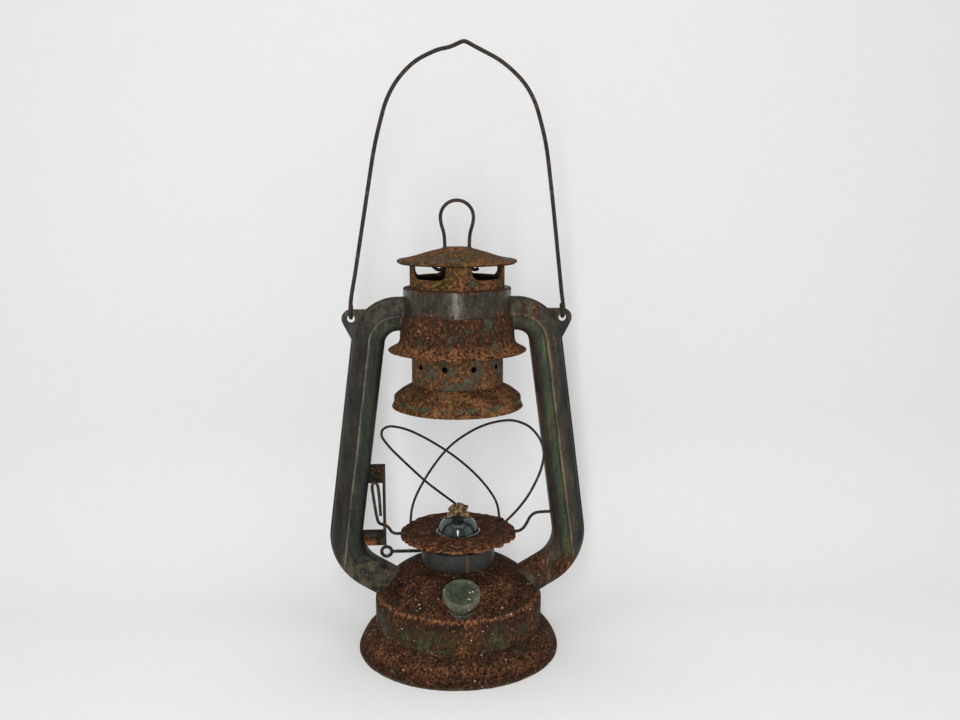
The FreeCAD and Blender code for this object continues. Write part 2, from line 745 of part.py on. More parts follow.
# ---------------------------------------------------------------- build
def build():
    bore = tube_core(True)
    bores = bore.fuse(mirrored(bore))
    right_front = air_tube()
    right_back = right_front.mirror(ORIGIN, ACROSS)
    pivot_hole = rod(LIFT_HOLE_R, LIFT_X - 3, LIFT_X + 3, at(0, LIFT_Z), SIDEWAYS)
    solid_filler = filler_bore(FILLER_R)
    shell = fount_shell().cut(bores).cut(solid_filler)
    return {
        "base_skirt": base_skirt(),
        "fount_shell": shell,
        "fount_bottom": fount_bottom(),
        "air_chamber_floor": air_chamber_floor().cut(solid_filler),
        "filler_neck": filler_neck().cut(shell),
        "filler_gasket": filler_gasket(),
        "filler_cap": filler_cap(),
        "burner_collar": burner_collar(),
        "burner_body": burner_body(),
        "burner_dome": burner_dome(),
        "wick_tube": wick_tube(),
        "wick": wick(),
        "wick_key": wick_key(),
        "wick_wheels": wick_wheels(),
        "tube_left_front": mirrored(right_front),
        "tube_left_back": mirrored(right_back),
        "tube_right_front": right_front.cut(pivot_hole),
        "tube_right_back": right_back.cut(pivot_hole),
        "crown_band": crown_band().cut(bores),
        "crown_skirt": crown_skirt().cut(bores),
        "chimney_tube": chimney_tube(),
        "vent_gallery": vent_gallery(),
        "chimney_cap": chimney_cap(),
        "pull_ring": pull_ring(),
        "globe_bell": globe_bell(),
        "chimney_spring": chimney_spring(),
        "bail_wire": bail_wire(),
        "lift_wire": lift_wire(),
        "globe_plate": globe_plate(),
        "guard_wire_left": guard_wire_left(),
        "guard_wire_right": guard_wire_right(),
        "lift_guide": lift_guide(),
    }


os.makedirs("parts", exist_ok=True)
for name, shape in build().items():
    shape.exportStep("parts/" + name + ".step")
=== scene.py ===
"""Barn lantern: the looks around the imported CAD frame. Metres, +Z up; a name with _mm holds millimetres."""
import json
import math
import random

import bmesh
import bpy
from mathutils import Matrix, Vector, noise

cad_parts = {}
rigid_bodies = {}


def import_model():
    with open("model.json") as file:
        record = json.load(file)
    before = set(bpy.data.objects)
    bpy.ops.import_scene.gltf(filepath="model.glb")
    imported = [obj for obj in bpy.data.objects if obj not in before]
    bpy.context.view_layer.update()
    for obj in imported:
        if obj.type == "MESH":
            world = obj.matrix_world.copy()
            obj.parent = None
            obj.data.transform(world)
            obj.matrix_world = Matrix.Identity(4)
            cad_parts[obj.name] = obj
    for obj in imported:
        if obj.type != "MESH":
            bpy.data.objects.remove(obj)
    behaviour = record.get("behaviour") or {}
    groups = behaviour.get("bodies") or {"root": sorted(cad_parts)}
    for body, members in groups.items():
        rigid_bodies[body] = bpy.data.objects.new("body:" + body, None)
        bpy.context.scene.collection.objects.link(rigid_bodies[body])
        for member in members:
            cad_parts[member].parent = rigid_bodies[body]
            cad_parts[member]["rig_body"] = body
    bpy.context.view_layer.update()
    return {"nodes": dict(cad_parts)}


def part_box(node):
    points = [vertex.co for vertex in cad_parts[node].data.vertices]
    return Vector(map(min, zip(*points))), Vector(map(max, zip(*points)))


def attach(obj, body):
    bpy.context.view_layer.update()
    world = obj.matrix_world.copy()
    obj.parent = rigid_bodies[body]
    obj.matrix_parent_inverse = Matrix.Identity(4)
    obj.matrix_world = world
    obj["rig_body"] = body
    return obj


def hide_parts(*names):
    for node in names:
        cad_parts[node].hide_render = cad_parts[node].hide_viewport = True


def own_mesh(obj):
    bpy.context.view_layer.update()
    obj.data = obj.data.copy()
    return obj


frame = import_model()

MM = 0.001
NODES = frame["nodes"]

CUT_AZIMUTH = 52.0          # degrees; between two of the chimney's vents, so that its outline has no gap
SHARP = math.radians(50)    # edges that turn further than this stay sharp
CORNER = math.radians(28)   # corners of an outline that turn further than this aren't smoothed
DENT_SEED = 12              # noise_vector, which makes the dents, starts from the clock unless it is seeded
noise.seed_set(DENT_SEED)


# ---------------------------------------------------------------- shader helpers
class Tree:
    """A material's node tree, with short calls for the nodes used here. Its coordinates are millimetres."""

    def __init__(self, name):
        self.material = bpy.data.materials.new(name)
        self.material.use_nodes = True
        self.nodes = self.material.node_tree.nodes
        self.links = self.material.node_tree.links
        self.nodes.clear()
        place = self.add("ShaderNodeTexCoord")
        scaled = self.add("ShaderNodeVectorMath", [place.outputs["Object"]], operation="SCALE")
        scaled.inputs["Scale"].default_value = 1 / MM
        self.place = scaled.outputs[0]
        split = self.add("ShaderNodeSeparateXYZ", [self.place])
        self.x, self.y, self.z = split.outputs

    def add(self, kind, inputs=(), **settings):
        node = self.nodes.new(kind)
        for key, value in settings.items():
            setattr(node, key, value)
        for socket, value in zip(node.inputs, inputs):
            self.put(socket, value)
        return node

    def put(self, socket, value):
        if isinstance(value, bpy.types.NodeSocket):
            self.links.new(value, socket)
        elif value is not None:
            if socket.type == "RGBA" and len(value) == 3:
                value = (*value, 1.0)
            socket.default_value = value

    def math(self, operation, a, b=None, clamp=False):
        return self.add("ShaderNodeMath", [a, b], operation=operation, use_clamp=clamp).outputs[0]

    def plus(self, a, b):
        return self.math("ADD", a, b)

    def minus(self, a, b):
        return self.math("SUBTRACT", a, b)

    def times(self, a, b):
        return self.math("MULTIPLY", a, b)

    def over_zero(self, value):
        return self.math("MAXIMUM", value, 0.0)

    def length(self, a, b):
        return self.math("SQRT", self.plus(self.times(a, a), self.times(b, b)))

    def moved(self, stretch, shift):
        mapping = self.add("ShaderNodeMapping", [self.place], vector_type="POINT")
        mapping.inputs["Scale"].default_value = stretch
        mapping.inputs["Location"].default_value = shift
        return mapping.outputs[0]

    def noise(self, size_mm, detail=4.0, rough=0.6, stretch=(1, 1, 1), shift=(0, 0, 0), twist=0.0):
        node = self.add("ShaderNodeTexNoise", noise_dimensions="3D")
        self.put(node.inputs["Vector"], self.moved(stretch, shift))
        node.inputs["Scale"].default_value = 1 / size_mm
        node.inputs["Detail"].default_value = detail
        node.inputs["Roughness"].default_value = rough
        node.inputs["Distortion"].default_value = twist
        return node.outputs["Fac"]

    def cells(self, size_mm, shift=(0, 0, 0)):
        """Distance to the nearest of a field of scattered points."""
        node = self.add("ShaderNodeTexVoronoi", feature="F1")
        self.put(node.inputs["Vector"], self.moved((1, 1, 1), shift))
        node.inputs["Scale"].default_value = 1 / size_mm
        return node.outputs["Distance"]

    def ramp(self, value, stops):
        node = self.add("ShaderNodeValToRGB", [value])
        points = node.color_ramp.elements
        while len(points) < len(stops):
            points.new(0.5)
        for point, (where, colour) in zip(points, stops):
            point.position = where
            point.color = (*colour, 1.0)
        return node.outputs["Color"]

    def step(self, value, low, high, to_low=0.0, to_high=1.0):
        """Smooth change from to_low, where value is low, to to_high, where it is high."""
        inputs = [value, low, high, to_low, to_high]
        return self.add("ShaderNodeMapRange", inputs, interpolation_type="SMOOTHSTEP").outputs[0]

    def mix(self, share, a, b, blend="MIX"):
        node = self.add("ShaderNodeMix", data_type="RGBA", blend_type=blend)
        self.put(node.inputs["Factor"], share)
        self.put(node.inputs[6], a)
        self.put(node.inputs[7], b)
        return node.outputs[2]

    def band(self, centre_mm, half_mm, axis=None):
        """1 at a place along an axis, or at a height, falling to 0 at half_mm on either side."""
        gap = self.math("ABSOLUTE", self.minus(axis or self.z, centre_mm))
        return self.step(gap, 0.0, half_mm, 1.0, 0.0)

    def finish(self, colour, rough, height, shine=0.3, bump=0.5, depth_mm=0.3, coat=0.0, metal=0.0,
               clear_back=False):
        """Ends the tree. clear_back makes a surface that can't be seen from behind."""
        shader = self.add("ShaderNodeBsdfPrincipled")
        self.put(shader.inputs["Base Color"], colour)
        self.put(shader.inputs["Roughness"], rough)
        self.put(shader.inputs["Specular IOR Level"], shine)
        self.put(shader.inputs["Coat Weight"], coat)
        self.put(shader.inputs["Metallic"], metal)
        shader.inputs["Coat Roughness"].default_value = 0.12
        relief = self.add("ShaderNodeBump")
        relief.inputs["Strength"].default_value = bump
        relief.inputs["Distance"].default_value = depth_mm * MM
        self.put(relief.inputs["Height"], height)
        self.put(shader.inputs["Normal"], relief.outputs[0])
        surface = shader.outputs[0]
        if clear_back:
            behind = self.add("ShaderNodeNewGeometry").outputs["Backfacing"]
            clear = self.add("ShaderNodeBsdfTransparent").outputs[0]
            surface = self.add("ShaderNodeMixShader", [behind, surface, clear]).outputs[0]
        out = self.add("ShaderNodeOutputMaterial")
        self.links.new(surface, out.inputs["Surface"])
        return self.material


# ---------------------------------------------------------------- colours
RUST = [
    (0.30, (0.006, 0.003, 0.002)),
    (0.42, (0.020, 0.009, 0.006)),
    (0.50, (0.040, 0.018, 0.011)),
    (0.59, (0.072, 0.030, 0.016)),
    (0.70, (0.135, 0.058, 0.028)),
    (0.82, (0.270, 0.140, 0.070)),
]
BRIGHT_RUST = [
    (0.28, (0.008, 0.004, 0.003)),
    (0.40, (0.034, 0.015, 0.008)),
    (0.50, (0.085, 0.038, 0.018)),
    (0.60, (0.150, 0.066, 0.028)),
    (0.72, (0.260, 0.125, 0.055)),
]
ORANGE = (0.330, 0.135, 0.050)
BURNT_ORANGE = (0.200, 0.098, 0.052)
DEEP_ORANGE = (0.140, 0.050, 0.018)
OLIVE_TINT = (0.70, 1.00, 0.62)
SPECK = (0.70, 0.66, 0.58)
PIT = (0.006, 0.004, 0.003)
SOOT = (0.003, 0.003, 0.003)
GRIME = (0.085, 0.066, 0.038)

# Each paint is three colours, from dirty to worn thin.
DARK_PAINT = ((0.006, 0.006, 0.005), (0.020, 0.020, 0.015), (0.055, 0.057, 0.042))
GREEN_PAINT = ((0.008, 0.010, 0.005), (0.030, 0.036, 0.018), (0.075, 0.090, 0.042))
BROWN_PAINT = ((0.008, 0.007, 0.003), (0.034, 0.031, 0.011), (0.072, 0.066, 0.024))
SKIRT_PAINT = ((0.020, 0.016, 0.008), (0.060, 0.052, 0.024), (0.130, 0.110, 0.050))
CHIMNEY_PAINT = ((0.030, 0.024, 0.012), (0.060, 0.052, 0.030), (0.100, 0.094, 0.060))
COLLAR_PAINT = ((0.010, 0.011, 0.009), (0.016, 0.018, 0.014), (0.026, 0.028, 0.021))
DOME_PAINT = ((0.004, 0.007, 0.008), (0.008, 0.016, 0.016), (0.022, 0.042, 0.038))
GREY_METAL = ((0.010, 0.007, 0.004), (0.025, 0.019, 0.011), (0.058, 0.046, 0.029))


# ---------------------------------------------------------------- finishes
def rust_share(t, broad, middle, bands, cover):
    """1 where the paint has gone and 0 where it holds."""
    spread = t.plus(t.times(broad, 0.55), t.times(middle, 0.45))
    for height, half, amount in bands:
        spread = t.plus(spread, t.times(t.band(height, half), amount))
    edge = 0.66 - 0.32 * cover
    return t.step(spread, edge - 0.04, edge + 0.04)


def rust_colour(t, rust, broad, middle, grain, olive):
    tone = t.plus(t.times(middle, 1.15), t.times(grain, 0.9))
    tone = t.minus(t.plus(tone, t.times(broad, 0.6)), 0.81)
    plain = t.ramp(tone, rust)
    return t.mix(olive, plain, t.mix(1.0, plain, OLIVE_TINT, "MULTIPLY"))


def paint_colour(t, paint, wear):
    if callable(paint):
        shade = t.ramp(wear, [(0.46, (0.35, 0.35, 0.35)), (0.60, (1, 1, 1)), (0.74, (2.1, 2.0, 1.8))])
        return t.mix(1.0, paint(t), shade, "MULTIPLY")
    return t.ramp(wear, [(0.48, paint[0]), (0.60, paint[1]), (0.72, paint[2])])


def fresh_rust(t, grain, dark):
    return t.mix(t.step(grain, 0.35, 0.62), dark, ORANGE)


def with_specks(t, colour, share):
    """Adds pale specks in a few regions."""
    spot = t.step(t.cells(2.7, (3, 8, 1)), 0.13, 0.20, 1.0, 0.0)
    region = t.step(t.noise(9.0, 3, 0.6, shift=(2, 7, 3)), 0.70 - share, 0.76 - share)
    return t.mix(t.times(spot, region), colour, SPECK)


def aged_metal(name, paint, rust=RUST, cover=0.5, streak=1.0, paint_rough=0.5, specks=0.0, bands=(), glow=(),
               shift=(0, 0, 0), patch_mm=16.0, fleck_mm=1.8, bump=0.7, coat=0.0, spec=0.3, metal=0.0,
               green=0.35, pits=0.8, soot_r_mm=0.0, accent=None):
    """Painted sheet with rust breaking through.

    paint        three colours, from dirty to worn thin, or a function from the tree to one colour
    cover        how far the rust has spread; rows of bands (height, half height, amount) change it
    streak       how many times taller than wide the patches are
    paint_rough  how rough the paint is; coat, spec and metal are also the paint's, and fade out with it
    specks       how far pale specks have spread
    glow         rows (height, half height, strength) of broken orange lines
    shift        where in the pattern the piece lies; patch_mm and fleck_mm are the pattern's two sizes
    green        how far the rust turns olive in patches
    pits         how dark the pits are
    soot_r_mm    distance from the lantern's axis inside which all is black
    accent       a function from the tree to the share of fresh orange rust
    """
    t = Tree(name)
    tall = (1, 1, 1 / streak)
    broad = t.noise(patch_mm, 5, 0.62, tall, shift, 0.2)
    middle = t.noise(fleck_mm, 6, 0.72, tall, shift, 0.1)
    grain = t.noise(1.2, 4, 0.75, shift=shift)
    flake = t.cells(2.6, shift)
    olive = t.times(t.step(t.noise(8.0, 4, 0.6, tall, (shift[0] + 31, 5, 9)), 0.47, 0.62), green)
    wear = t.plus(t.times(t.noise(5.0, 6, 0.72, tall, (5, 3, 1)), 0.8), t.times(grain, 0.4))

    rusty = rust_share(t, broad, middle, bands, cover)
    painted = paint_colour(t, paint, wear)
    colour = t.mix(rusty, painted, rust_colour(t, rust, broad, middle, grain, olive))
    for height, half, strength in glow:
        lit = t.times(t.band(height, half), t.step(middle, 0.44, 0.58, 0.0, strength))
        colour = t.mix(lit, colour, fresh_rust(t, grain, BURNT_ORANGE))
    if accent:
        colour = t.mix(accent(t), colour, fresh_rust(t, grain, DEEP_ORANGE))
    pit = t.minus(1.0, t.step(t.cells(2.3, (9, 2, 4)), 0.10, 0.36))
    pitted = t.times(t.step(middle, 0.48, 0.60), pit)
    colour = t.mix(t.times(pitted, pits), colour, PIT)
    if specks:
        colour = with_specks(t, colour, specks)
    if soot_r_mm:
        inside = t.step(t.length(t.x, t.y), soot_r_mm - 0.1, soot_r_mm + 0.1, 1.0, 0.0)
        colour = t.mix(inside, colour, SOOT)

    clean = t.minus(1.0, rusty)
    rough = t.step(rusty, 0.0, 1.0, paint_rough, 0.92)
    rough = t.math("ADD", rough, t.times(t.minus(grain, 0.5), 0.3), clamp=True)
    lift = t.times(rusty, t.plus(middle, t.times(flake, 0.35)))
    relief = t.plus(t.times(grain, t.step(rusty, 0.0, 1.0, 0.15, 0.6)), lift)
    relief = t.minus(relief, t.times(pitted, 0.7))
    shine = t.plus(t.times(clean, spec), 0.06)
    return t.finish(colour, rough, relief, shine, bump, 0.35, t.times(clean, coat), t.times(clean, metal))


def wire_finish():
    t = Tree("dark_wire")
    tone = t.noise(3.0, 5, 0.7)
    grain = t.noise(0.8, 3, 0.7)
    colour = t.ramp(tone, [
        (0.35, (0.010, 0.008, 0.007)),
        (0.55, (0.030, 0.021, 0.015)),
        (0.72, (0.120, 0.055, 0.026)),
    ])
    rough = t.step(grain, 0.3, 0.7, 0.45, 0.8)
    return t.finish(colour, rough, t.plus(tone, grain), 0.25, 0.6, 0.15)


def wick_finish():
    t = Tree("wick_cotton")
    char = t.noise(2.4, 5, 0.7)
    weave = t.noise(0.6, 4, 0.75)
    tone = t.plus(t.times(char, 0.6), t.times(weave, 0.4))
    colour = t.ramp(tone, [
        (0.36, (0.008, 0.005, 0.003)),
        (0.46, (0.080, 0.048, 0.022)),
        (0.55, (0.300, 0.200, 0.115)),
        (0.66, (0.620, 0.490, 0.340)),
    ])
    return t.finish(colour, 0.95, t.plus(char, weave), 0.0, 0.9, 0.4)


def inner_finish():
    return aged_metal("inner_sheet", DARK_PAINT, cover=0.62, paint_rough=0.6, patch_mm=10, spec=0.2)


def gasket_finish():
    t = Tree("gasket_cork")
    grain = t.cells(1.1)
    colour = t.ramp(grain, [
        (0.1, (0.030, 0.020, 0.012)),
        (0.5, (0.110, 0.070, 0.038)),
        (0.9, (0.180, 0.120, 0.070)),
    ])
    return t.finish(colour, 0.9, grain, 0.0, 0.6, 0.2)


# ---------------------------------------------------------------- mesh helpers
def new_piece(name, mesh):
    piece = bpy.data.objects.new(name, mesh)
    bpy.context.scene.collection.objects.link(piece)
    return piece


def apply_modifiers(piece):
    bpy.context.view_layer.update()
    evaluated = piece.evaluated_get(bpy.context.evaluated_depsgraph_get())
    piece.data = bpy.data.meshes.new_from_object(evaluated)
    piece.modifiers.clear()


def section_loop(node):
    """The closed (radius, height) outline where a half plane through the axis cuts a turned CAD node."""
    bm = bmesh.new()
    bm.from_mesh(NODES[node].data)
    bmesh.ops.remove_doubles(bm, verts=bm.verts[:], dist=1e-6)
    bm.transform(Matrix.Rotation(math.radians(-CUT_AZIMUTH), 4, "Z"))
    everything = bm.verts[:] + bm.edges[:] + bm.faces[:]
    cut = bmesh.ops.bisect_plane(bm, geom=everything, dist=1e-8, plane_co=(0, 0, 0), plane_no=(0, 1, 0))

    def place(vertex):
        """Orders vertices by height and then radius, so that each run walks an outline the same way."""
        return vertex.co.z, vertex.co.x

    near = {}
    for edge in cut["geom_cut"]:
        if isinstance(edge, bmesh.types.BMEdge) and min(v.co.x for v in edge.verts) > -1e-6:
            a, b = edge.verts
            near.setdefault(a, set()).add(b)
            near.setdefault(b, set()).add(a)
    loops = []
    while near:
        here = min(near, key=place)
        loop = []
        while here is not None:
            loop.append((here.co.x, here.co.z))
            ahead = [v for v in near.pop(here) if v in near]
            here = min(ahead, key=place, default=None)
        loops.append(loop)
    bm.free()
    return max(loops, key=len)


def fine_loop(loop, step):
    """The outline with points no further apart than step, and its gentle corners smoothed."""
    points = []
    fixed = []
    for i, here in enumerate(loop):
        a = Vector(here)
        b = Vector(loop[(i + 1) % len(loop)])
        ahead = b - a
        back = a - Vector(loop[i - 1])
        parts = max(1, math.ceil(ahead.length / step))
        turn = back.angle(ahead, 0.0) if min(back.length, ahead.length) > 1e-7 else 0.0
        points += [a.lerp(b, k / parts) for k in range(parts)]
        fixed += [turn > CORNER] + [False] * (parts - 1)
    for _ in range(2):
        sides = [points[i - 1] + points[(i + 1) % len(points)] for i in range(len(points))]
        points = [p if held else p * 0.5 + s * 0.25 for p, held, s in zip(points, fixed, sides)]
    return points


def turned_mesh(name, node, warp, around=288, step=0.9 * MM):
    """A new turned piece from a CAD node's outline. warp(point, outward) returns where a point goes."""
    loop = fine_loop(section_loop(node), step)
    count = len(loop)
    area = sum(loop[i - 1].cross(loop[i]) for i in range(count))
    sign = 1.0 if area > 0 else -1.0
    vertices = []
    for i in range(around):
        angle = 2 * math.pi * i / around
        c, s = math.cos(angle), math.sin(angle)
        for j, (r, z) in enumerate(loop):
            tangent = loop[(j + 1) % count] - loop[j - 1]
            flat = Vector((1, 0))
            if tangent.length > 0:
                flat = Vector((tangent.y, -tangent.x)).normalized() * sign
            vertices.append(warp(Vector((r * c, r * s, z)), Vector((flat.x * c, flat.x * s, flat.y))))
    faces = []
    for i in range(around):
        k = (i + 1) % around
        for j in range(count):
            m = (j + 1) % count
            if loop[j][0] < 1e-6 and loop[m][0] < 1e-6:
                continue
            quad = (i * count + j, k * count + j, k * count + m, i * count + m)
            faces.append(quad if sign > 0 else quad[::-1])
    mesh = bpy.data.meshes.new(name)
    mesh.from_pydata(vertices, [], faces)
    bm = bmesh.new()
    bm.from_mesh(mesh)
    bmesh.ops.remove_doubles(bm, verts=bm.verts[:], dist=1e-6)
    bmesh.ops.dissolve_degenerate(bm, edges=bm.edges[:], dist=1e-7)
    bmesh.ops.recalc_face_normals(bm, faces=bm.faces[:])
    for face in bm.faces:
        face.smooth = True
    bm.to_mesh(mesh)
    bm.free()
    mesh.update()
    mesh.set_sharp_from_angle(angle=SHARP)
    return new_piece(name, mesh)


def rough_skin(pit_mm, dent_mm, seed, ragged=None):
    """A warp for turned pieces: dents move both faces together, and pits move a face along its normal.
    ragged(point, out), if given, returns where a point goes after that."""
    offset = Vector((seed, seed * 0.7, seed * 1.3))
    dent_size_mm = 24.0
    grain_size_mm = 2.2
    flake_size_mm = 5.0

    def warp(point, outward):
        at = point / MM + offset
        out = point + noise.noise_vector(at / dent_size_mm) * dent_mm * MM
        fine = noise.fractal(at / grain_size_mm, 0.9, 2.1, 4)
        flake = max(0.0, noise.noise(at / flake_size_mm) - 0.12) * 1.6
        out += outward * (fine * 0.6 + flake * 0.7) * pit_mm * MM
        return ragged(point, out) if ragged else out

    return warp


def stand_for(piece, node, material):
    """Shows a piece in place of a CAD node, riding the same body."""
    piece.data.materials.clear()
    piece.data.materials.append(material)
    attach(piece, NODES[node]["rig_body"])
    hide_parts(node)


def repaint(node, material):
    """Gives a CAD node a finish, without touching its mesh."""
    shown = NODES[node]
    if not shown.material_slots:
        shown.data.materials.append(material)
    for slot in shown.material_slots:
        slot.link = "OBJECT"
        slot.material = material


# ---------------------------------------------------------------- tank and skirt
def make_tank():
    shoulder_mm = 34.8      # top of the round between the wall and the dome
    finish = aged_metal(
        "rusted_tank", BROWN_PAINT, cover=0.76, streak=1.5, paint_rough=0.65, spec=0.16, specks=0.13,
        patch_mm=15,
        bands=[(24.0, 10.0, -0.07), (17.5, 3.0, -0.05), (44.0, 8.0, 0.05)],
        # The broken orange line on the shoulder's ridge is rust with a painted highlight.
        glow=[(shoulder_mm, 1.5, 0.9)],
    )
    piece = turned_mesh("tank_shell", "fount_shell", rough_skin(0.16, 0.25, 3.0))
    stand_for(piece, "fount_shell", finish)
    repaint("fount_bottom", finish)


def make_skirt():
    finish = aged_metal(
        "rusted_skirt", SKIRT_PAINT, cover=0.80, paint_rough=0.6, spec=0.2, specks=0.09,
        shift=(20, 4, 7), patch_mm=13,
        bands=[(8.0, 5.0, 0.04), (0.0, 2.6, -0.12)],
        glow=[(9.0, 4.5, 0.22)],
    )
    worn = 3 * MM           # height of the edge that is chipped

    def ragged(point, out):
        """Chips the lower edge, and keeps it above the ground."""
        if point.z < worn:
            chip = max(0.0, noise.noise(point / (5 * MM)) - 0.15)
            out.z += chip * 1.2 * MM * (1 - point.z / worn)
            out.z = max(out.z, 0.0)
        return out

    piece = turned_mesh("base_skirt_skin", "base_skirt", rough_skin(0.18, 0.3, 11.0, ragged))
    stand_for(piece, "base_skirt", finish)


# ---------------------------------------------------------------- filler
FILLER_TILT = math.radians(23.5)    # from vertical, towards the front
CAP_FORWARD_MM = 47.0               # the middle of the cap's top face is this far in front of the axis
CAP_HEIGHT_MM = 52.0                # and this high
CAP_SPREAD_MM = 12.0                # radius that counts as 1 in the cap's ramp; the cap's own is 10.5


def cap_base(t):
    """Cap paint: dark in the middle of the top, worn pale at the rim, and rusty under the rim."""
    c, s = math.cos(FILLER_TILT), math.sin(FILLER_TILT)
    y = t.plus(t.y, CAP_FORWARD_MM)
    z = t.minus(t.z, CAP_HEIGHT_MM)
    along = t.minus(t.times(z, c), t.times(y, s))
    side = t.plus(t.times(y, c), t.times(z, s))
    waver = t.times(t.minus(t.noise(4.0), 0.5), 3.0)
    across = t.math("DIVIDE", t.plus(t.length(side, t.x), waver), CAP_SPREAD_MM)
    top = t.ramp(across, [
        (0.25, (0.022, 0.030, 0.017)),
        (0.62, (0.036, 0.046, 0.027)),
        (0.86, (0.085, 0.098, 0.062)),
    ])
    under = t.times(t.step(along, -3.0, -2.2, 1.0, 0.0), t.step(along, -5.2, -4.4, 0.0, 1.0))
    return t.mix(under, top, (0.150, 0.060, 0.022))


def make_filler():
    finish = aged_metal("cap_paint", cap_base, cover=0.14, paint_rough=0.55, spec=0.35, specks=0.20,
                        shift=(6, 6, 1), patch_mm=7, bump=0.3)
    repaint("filler_cap", finish)
    repaint("filler_neck", finish)
    repaint("filler_gasket", gasket_finish())


# ---------------------------------------------------------------- burner
def run_down(t):
    """A faint rusty run on the front of the collar, a little to the right."""
    return t.times(t.band(4.5, 1.5, t.x), t.step(t.y, -4.0, 0.0, 0.35, 0.0))


def make_collar():
    finish = aged_metal("dark_enamel", COLLAR_PAINT, cover=0.10, spec=0.4, bands=[(53.5, 1.8, 0.12)],
                        shift=(4, 9, 2), patch_mm=9, bump=0.15, accent=run_down)
    piece = turned_mesh("collar_skin", "burner_collar", rough_skin(0.04, 0.1, 7.0), 256, 0.7 * MM)
    stand_for(piece, "burner_collar", finish)


def make_dome():
    finish = aged_metal("dome_enamel", DOME_PAINT, cover=0.06, paint_rough=0.16, coat=0.3, spec=0.5,
                        shift=(2, 2, 8), patch_mm=6, bump=0.08)
    repaint("burner_dome", finish)


def make_wick():
    """A charred cotton clump on the flat strap: random lumps, joined by a voxel remesh."""
    low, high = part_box("wick")
    middle = (low + high) / 2
    head_low = high.z - 8.0 * MM
    head_reach = 4.2 * MM
    strap_high = head_low + 2 * MM
    strap_deep = 2.6 * MM
    rng = random.Random(12)
    bm = bmesh.new()
    for _ in range(34):
        size = rng.uniform(1.1, 2.2) * MM
        turn = rng.uniform(0, 2 * math.pi)
        reach = rng.uniform(0.2, 1.0) ** 0.5
        spot = Vector((
            middle.x + 0.2 * MM + reach * math.cos(turn) * ((high.x - low.x) / 2 - size),
            middle.y + rng.uniform(-1, 1) * ((high.y - low.y) / 2 - size),
            (head_low + high.z) / 2 + reach * math.sin(turn) * (head_reach - size),
        ))
        bmesh.ops.create_icosphere(bm, subdivisions=2, radius=size, matrix=Matrix.Translation(spot))
    strap = bmesh.ops.create_cube(bm, size=1.0)["verts"]
    bmesh.ops.scale(bm, verts=strap, vec=(high.x - low.x, strap_deep, strap_high - low.z))
    bmesh.ops.translate(bm, verts=strap, vec=(middle.x, middle.y, (low.z + strap_high) / 2))
    mesh = bpy.data.meshes.new("wick_cotton")
    bm.to_mesh(mesh)
    bm.free()
    piece = new_piece("wick_cotton", mesh)
    remesh = piece.modifiers.new("join", "REMESH")
    remesh.mode = "VOXEL"
    remesh.voxel_size = 0.35 * MM
    apply_modifiers(piece)
    for vertex in piece.data.vertices:
        if vertex.co.z > head_low:
            crumb = noise.fractal(vertex.co / (1.4 * MM), 0.8, 2.1, 4)
            vertex.co += vertex.normal * crumb * 0.5 * MM
    for face in piece.data.polygons:
        face.use_smooth = True
    stand_for(piece, "wick", wick_finish())


# ---------------------------------------------------------------- globe plate
def flaking_front(t):
    """Patches of fresh rust, most of them on the front of the plate."""
    patch = t.step(t.noise(3.4, 5, 0.7, shift=(3, 3, 3)), 0.50, 0.60)
    return t.times(patch, t.step(t.y, -26.0, -8.0, 0.9, 0.15))


def make_plate():
    finish = aged_metal(
        "rusted_plate", DARK_PAINT, cover=0.76, paint_rough=0.7, spec=0.15, green=0.2, specks=0.06,
        shift=(7, 1, 3), patch_mm=5, fleck_mm=1.9, glow=[(70.4, 0.9, 0.6)], accent=flaking_front,
    )
    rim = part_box("globe_plate")[1].x
    frayed = 4 * MM         # width of the edge that has flaked away

    def ragged(point, out):
        """Breaks the rim, and bends it up and down."""
        radius = math.hypot(point.x, point.y)
        near = max(0.0, (radius - rim + frayed) / frayed)
        around = Vector((point.x, point.y, 0)) / (3.2 * MM)
        chip = max(0.0, noise.noise(around) + 0.1) + 0.6 * max(0.0, noise.noise(around * 2.7))
        shrink = 1 - near * chip * 2.2 * MM / max(radius, 1e-6)
        out.x *= shrink
        out.y *= shrink
        out.z += near * noise.noise(around * 0.4 + Vector((9, 0, 0))) * 1.4 * MM
        return out

    piece = turned_mesh("plate_skin", "globe_plate", rough_skin(0.32, 0.35, 5.0, ragged), 320, 0.7 * MM)
    stand_for(piece, "globe_plate", finish)


# ---------------------------------------------------------------- air tubes
TUBE_HALF_MM = 9.0
TUBE_FLANGE_MM = 1.2
ELBOW_R_MM = 17.0
ELBOW_X_MM = 34.0
TUBE_LEAN = math.radians(7.4)
ELBOW_Z_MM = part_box("tube_right_front")[1].z / MM - TUBE_FLANGE_MM - TUBE_HALF_MM - ELBOW_R_MM


def along_tube(stops):
    """Paint that changes across an air tube, from its inner edge at 0 to its outer edge at 1; the stops also
    hold a painted highlight along the crease.
    """

    def base(t):
        drop = t.over_zero(t.minus(ELBOW_Z_MM, t.z))
        out = t.minus(t.math("ABSOLUTE", t.x), t.times(drop, math.tan(TUBE_LEAN)))
        far = t.length(t.over_zero(t.minus(out, ELBOW_X_MM)), t.over_zero(t.minus(t.z, ELBOW_Z_MM)))
        across = t.math("DIVIDE", t.minus(far, ELBOW_R_MM - TUBE_HALF_MM), 2 * TUBE_HALF_MM)
        waver = t.times(t.minus(t.noise(9.0, 3, 0.6, (1, 1, 0.25)), 0.5), 0.07)
        colour = t.ramp(t.plus(across, waver), stops)
        blotch = t.step(t.noise(5.0, 5, 0.7), 0.42, 0.56)
        arm = t.times(t.step(t.z, 50.0, 66.0, 0.7, 0.0), blotch)
        elbow = t.times(t.step(t.z, 190.0, 202.0, 0.0, 0.55), blotch)
        return t.mix(t.plus(arm, elbow), colour, GRIME)

    return base


